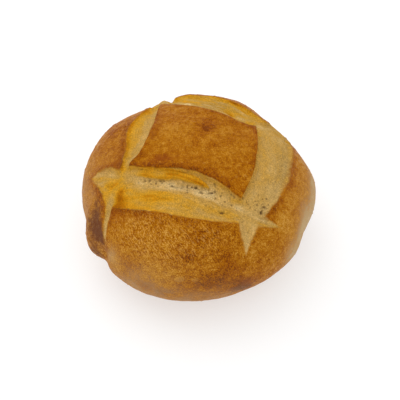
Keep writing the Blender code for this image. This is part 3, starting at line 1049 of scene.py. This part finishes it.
# Round spots: how far apart they may lie, widest radius, share of the places that have one
GLINT_DOTS = (2.4 * MM, 0.8 * MM, 0.35)
FRECKLES = (1.7 * MM, 0.6 * MM, 0.4)
SMALL_PORES = (2.7 * MM, 1.3 * MM, 0.7)
# The pale flecks, which are painted glints: width and length over width
GLINT_FLECK_WIDTH, GLINT_FLECK_STRETCH = 0.9 * MM, 4.5
# How strongly each shows over the colour below it
RUST_SHARE, GLINT_DOT_SHARE, GLINT_FLECK_SHARE, BLISTER_SHARE, BURNT_SHARE = 0.75, 0.55, 0.64, 0.35, 0.92
FRECKLE_SHARE, PORE_SHADE_SHARE = 0.35, 0.75
DOUGH_ROUGHNESS = 0.8
GLOSS = 0.06
SKIN_BUMP = 0.4 * MM


def crust_color(shader, fine, middle, broad):
    """Mottled brown crust with blisters and rusty, dusty and burnt places, and painted glints:
    pale dots and flecks.
    """
    grainy = shader.mask("grainy")
    fine_share = shader.plus(0.40, (grainy, 0.30))
    middle_share = shader.plus(0.22, (grainy, 0.08))
    bake = shader.plus(
        shader.mask("bake"), (fine, fine_share), (middle, middle_share), (broad, 0.13)
    )
    color = shader.colors(bake, CRUST_RAMP)
    rusty = shader.plus(shader.mask("rusty"), (middle, 0.3), (broad, 0.1))
    color = shader.mix(shader.ramp(rusty, 0.1, 1.3, 0.0, RUST_SHARE), color, RUST_COLOR)
    # Painted highlights: pale dots and flecks that stand in for glints of the glossy crust
    glint_dots = shader.spots(*GLINT_DOTS)
    color = shader.mix(shader.math("MULTIPLY", glint_dots, GLINT_DOT_SHARE), color, GLINT_DOT_COLOR)
    glint_flecks = shader.ramp(shader.streaks(GLINT_FLECK_WIDTH, GLINT_FLECK_STRETCH, GLINT_FLECK_TURN), 0.53, 0.61)
    glint_flecks = shader.math("MULTIPLY", glint_flecks, shader.mask("glint_places"))
    color = shader.mix(shader.math("MULTIPLY", glint_flecks, GLINT_FLECK_SHARE), color, GLINT_FLECK_COLOR)
    blisters = shader.math("MULTIPLY", shader.mask("blister"), BLISTER_SHARE)
    color = shader.mix(blisters, color, BLISTER_COLOR)
    dusty = shader.mask("dusty")
    dust = shader.plus(1.0, (middle, 0.8), (fine, 0.5), (broad, 0.8))
    color = shader.mix(shader.math("MULTIPLY", dust, dusty, clamp=True), color, DUST_COLOR)
    burnt = shader.plus(shader.mask("burnt"), (middle, 0.30), (fine, 0.25))
    return shader.mix(shader.ramp(burnt, 0.0, 1.0, 0.0, BURNT_SHARE), color, BURNT_COLOR)


def dough_color(shader, fine, middle, broad):
    """Torn dough: cream to gold by its tone, with brown freckles, painted shade where shade falls
    on it, and pores painted dark for the shade inside them.
    """
    tone = shader.plus(shader.mask("tone"), (middle, 0.05), (broad, 0.12))
    color = shader.colors(tone, DOUGH_RAMP)
    # Painted shade: the dough is darkened by this mask where shade falls on it
    shade = shader.mask("painted_shade")
    color = shader.lit(color, shader.plus(1.0, (fine, 0.50), (middle, 0.14), (shade, -1.0)))
    freckles = shader.spots(*FRECKLES)
    color = shader.mix(shader.math("MULTIPLY", freckles, FRECKLE_SHARE), color, FRECKLE_COLOR)
    # Painted shade: the small pores are dark spots of colour with no relief, for the shade in
    # them
    small_pores = shader.spots(*SMALL_PORES)
    small_pores = shader.math("MULTIPLY", small_pores, shader.mask("porous"))
    color = shader.mix(shader.math("MULTIPLY", small_pores, PORE_SHADE_SHARE), color, PORE_SHADE_COLOR)
    # Painted shade: the pores, which also dip in the relief, are painted dark for the shade
    # inside them
    return shader.mix(shader.math("MULTIPLY", shader.mask("pore"), PORE_SHADE_SHARE), color, PORE_SHADE_COLOR)


def crust_material():
    """Baked crust, with torn dough where the cuts opened."""
    shader = Shader("crust")
    fine = shader.grain(FINE_SIZE, detail=3.0, rough=0.65)
    middle = shader.grain(MIDDLE_SIZE, detail=3.0, rough=0.6)
    broad = shader.grain(BROAD_SIZE, detail=2.0)
    opened = shader.plus(shader.mask("opened"), (middle, 0.20), (fine, 0.10))
    opened = shader.ramp(opened, 0.28, 0.72)
    crust = crust_color(shader, fine, middle, broad)
    dough = dough_color(shader, fine, middle, broad)
    shader.put(shader.mix(opened, crust, dough), shader.surface.inputs["Base Color"])

    gloss = shader.ramp(middle, -0.5, 0.5, 0.38, 0.56)
    rough = shader.tree.nodes.new("ShaderNodeMix")
    shader.put(opened, rough.inputs[0])
    shader.put(gloss, rough.inputs[2])
    shader.put(DOUGH_ROUGHNESS, rough.inputs[3])
    shader.put(rough.outputs[0], shader.surface.inputs["Roughness"])
    shader.put(GLOSS, shader.surface.inputs["Specular IOR Level"])
    shader.put(SPECULAR_TINT, shader.surface.inputs["Specular Tint"])

    skin = shader.bump(shader.math("ADD", fine, middle), SKIN_BUMP)
    shader.put(skin, shader.surface.inputs["Normal"])
    return shader.material


# ---- the stage ----

CAMERA_TARGET = Vector((0.0015, -0.0048, 0.0414))
CAMERA_DISTANCE = 0.6
CAMERA_ELEVATION = math.radians(52.0)
CAMERA_LENS = 65.9  # mm
SENSOR_WIDTH = 36.0  # mm
FLOOR_SIZE = 6.0
FLOOR_COLOR = (0.5, 0.5, 0.5, 1.0)
FLOOR_GAP = 0.0002
FLOOR_GLOW = 0.5
KEY_PLACE, KEY_SIZE, KEY_POWER = (-0.5, 0.5, 1.2), 1.2, 5.0
LIT_POINT = Vector((0.0, 0.0, 0.05))


def add_floor():
    mesh = bpy.data.meshes.new("floor")
    half = FLOOR_SIZE / 2.0
    plan = ((-half, -half), (half, -half), (half, half), (-half, half))
    corners = [(x, y, -FLOOR_GAP) for x, y in plan]
    mesh.from_pydata(corners, [], [(0, 1, 2, 3)])
    shader = Shader("floor")
    shader.surface.inputs["Base Color"].default_value = FLOOR_COLOR
    shader.surface.inputs["Roughness"].default_value = 0.9
    shader.surface.inputs["Emission Color"].default_value = (1.0, 1.0, 1.0, 1.0)
    shader.surface.inputs["Emission Strength"].default_value = FLOOR_GLOW
    mesh.materials.append(shader.material)
    floor = bpy.data.objects.new("floor", mesh)
    bpy.context.scene.collection.objects.link(floor)


def aim(obj, place, target):
    obj.location = place
    obj.rotation_euler = (target - place).to_track_quat("-Z", "Y").to_euler()


def add_area_light(name, place, size, power):
    light = bpy.data.lights.new(name, "AREA")
    light.size = size
    light.energy = power
    obj = bpy.data.objects.new(name, light)
    bpy.context.scene.collection.objects.link(obj)
    aim(obj, Vector(place), LIT_POINT)


def add_lights():
    world = bpy.data.worlds.new("studio")
    world.use_nodes = True
    world.node_tree.nodes["Background"].inputs["Color"].default_value = (1.0, 1.0, 1.0, 1.0)
    world.node_tree.nodes["Background"].inputs["Strength"].default_value = 1.0
    bpy.context.scene.world = world
    add_area_light("key", KEY_PLACE, KEY_SIZE, KEY_POWER)


def add_camera():
    camera = bpy.data.objects.new("camera", bpy.data.cameras.new("camera"))
    camera.data.lens = CAMERA_LENS
    camera.data.sensor_width = SENSOR_WIDTH
    bpy.context.scene.collection.objects.link(camera)
    back = Vector((0.0, -math.cos(CAMERA_ELEVATION), math.sin(CAMERA_ELEVATION)))
    aim(camera, CAMERA_TARGET + back * CAMERA_DISTANCE, CAMERA_TARGET)
    bpy.context.scene.camera = camera


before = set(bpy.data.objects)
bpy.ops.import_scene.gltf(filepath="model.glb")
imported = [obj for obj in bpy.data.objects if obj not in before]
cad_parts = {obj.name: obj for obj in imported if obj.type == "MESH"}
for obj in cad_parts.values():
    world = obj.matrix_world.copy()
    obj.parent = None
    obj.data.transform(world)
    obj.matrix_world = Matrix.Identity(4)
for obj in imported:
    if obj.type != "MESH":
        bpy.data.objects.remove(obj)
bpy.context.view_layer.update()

boule = make_boule()
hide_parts(CAD_NODE)
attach(boule, BODY)

add_floor()
add_lights()
add_camera()
bpy.context.scene.view_settings.view_transform = "Standard"
